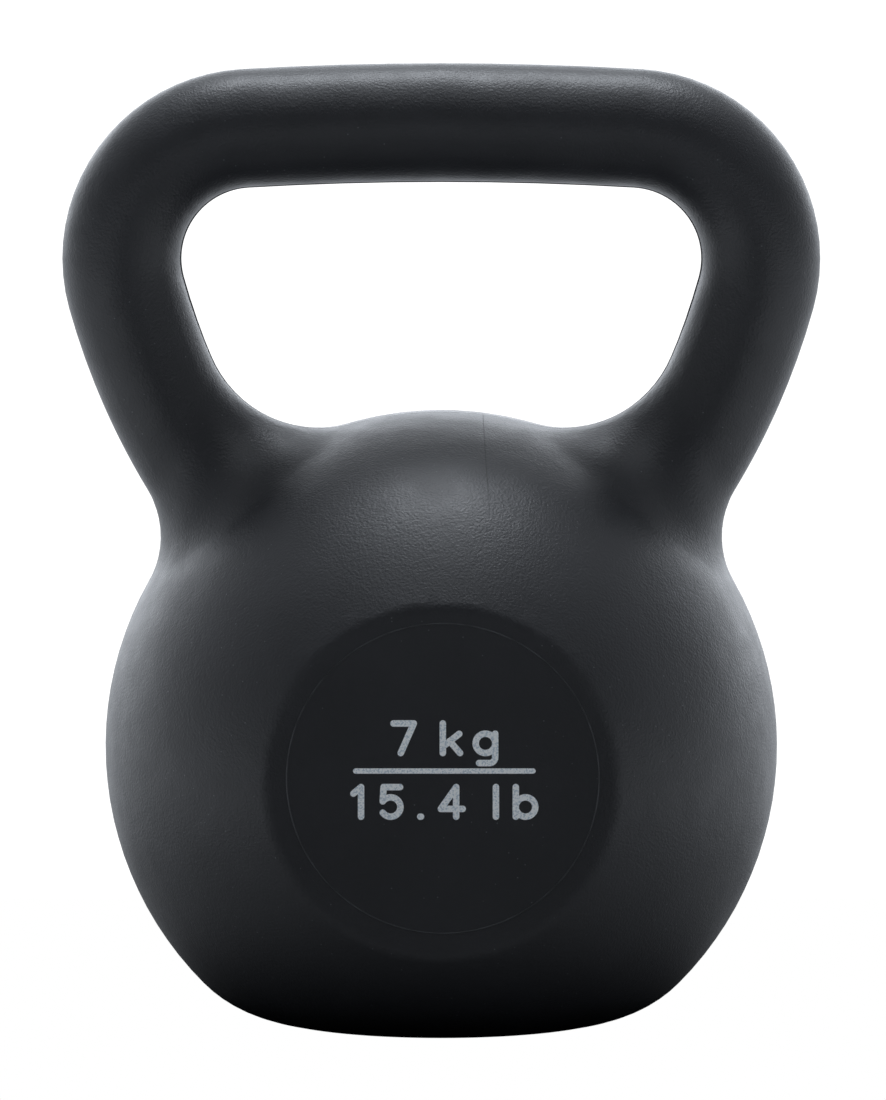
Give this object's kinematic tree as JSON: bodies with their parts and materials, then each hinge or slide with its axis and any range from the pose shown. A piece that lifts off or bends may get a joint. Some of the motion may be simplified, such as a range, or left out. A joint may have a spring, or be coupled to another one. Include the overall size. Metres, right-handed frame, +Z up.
{
  "type": "kettlebell",
  "caption": "Filled plastic kettlebell: round body with flat front and back facets, flat base with a rubber pad, and a wide, slightly bowed handle.",
  "frame": {"origin": "middle of the base pad's underside, where the kettlebell stands on the floor", "axes": "+Z up, X along the handle bar, -Y out of the front facet with the weight marking"},
  "size_m": [0.2004, 0.1524, 0.2544],
  "materials": {
    "shell_plastic": "charcoal moulded plastic with a fine matte grain",
    "cement_mix": "rough cast cement and sand",
    "steel_rod": "plain drawn rod",
    "plug_plastic": "black moulded plastic",
    "pad_rubber": "matte black rubber, fine texture",
    "marking_ink": "pale grey-blue pad-printed ink"
  },
  "bodies": {
    "root": {"shell": "shell_plastic", "ballast": "cement_mix", "handle_core": "steel_rod", "fill_plug": "plug_plastic", "base_pad": "pad_rubber", "weight_marking": "marking_ink"}
  },
  "joints": []
}
